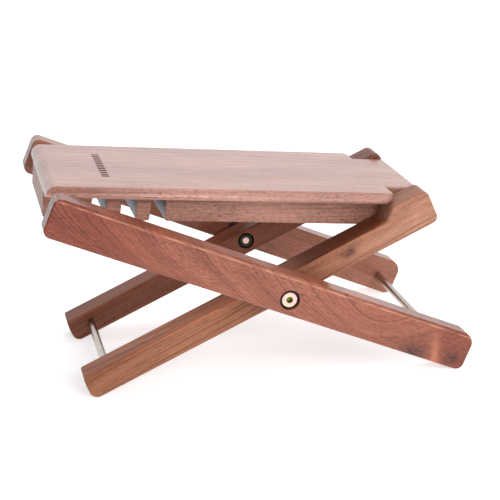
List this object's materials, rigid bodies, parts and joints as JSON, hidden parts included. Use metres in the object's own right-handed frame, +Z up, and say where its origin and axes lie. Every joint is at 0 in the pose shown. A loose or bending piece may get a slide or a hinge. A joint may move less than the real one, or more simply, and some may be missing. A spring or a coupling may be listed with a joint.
{
  "type": "folding footrest",
  "caption": "Folding wooden footrest: crossed legs on scissor pivots, a hinged tread on a notched block that hooks over a steel catch rod.",
  "frame": {"origin": "middle of the footprint, on the floor, with the stand open at its lowest setting", "axes": "+X towards the tread's hinged end, +Y from the front pair of legs to the back pair, +Z up"},
  "size_m": [0.3068, 0.184, 0.1578],
  "materials": {
    "walnut_legs": "satin lacquer",
    "light_walnut_legs": "satin lacquer",
    "walnut_tread": "satin lacquer",
    "steel_rods": "satin",
    "zinc_bolts": "yellow zinc plated",
    "black_washers": "satin black",
    "black_nylon": "matt",
    "brass_sleeves": "turned",
    "screw_steel": "zinc plated"
  },
  "bodies": {
    "inner_frame": {"inner_leg_front": "light_walnut_legs", "inner_leg_back": "light_walnut_legs", "inner_foot_rod": "steel_rods", "hinge_rod": "steel_rods", "pivot_bolt_front": "zinc_bolts", "pivot_bolt_back": "zinc_bolts", "head_washer_front": "black_washers", "head_washer_back": "black_washers", "nut_washer_front": "black_washers", "nut_washer_back": "black_washers", "lock_nut_front": "black_washers", "lock_nut_back": "black_washers"},
    "outer_frame": {"outer_leg_front": "walnut_legs", "outer_leg_back": "walnut_legs", "catch_rod": "steel_rods", "outer_foot_rod": "steel_rods", "pivot_sleeve_front": "brass_sleeves", "pivot_sleeve_back": "brass_sleeves", "leg_spacer_front": "black_nylon", "leg_spacer_back": "black_nylon"},
    "top": {"tread": "walnut_tread", "notched_block": "walnut_tread", "hinge_block": "walnut_tread", "hinge_sleeve_front": "brass_sleeves", "hinge_sleeve_back": "brass_sleeves", "block_screws": "screw_steel", "end_screws": "screw_steel", "hinge_block_screws": "screw_steel"}
  },
  "joints": [
    {"name": "scissor_fold", "type": "hinge", "parent": "inner_frame", "child": "outer_frame", "pos_m": [0.01476, 0, 0.0689], "axis": [0, 1, 0], "range_deg": [-47.3, 0]},
    {"name": "tread_lift", "type": "hinge", "parent": "inner_frame", "child": "top", "pos_m": [0.11394, 0, 0.11422], "axis": [0, 1, 0], "range_deg": [0, 50]}
  ]
}
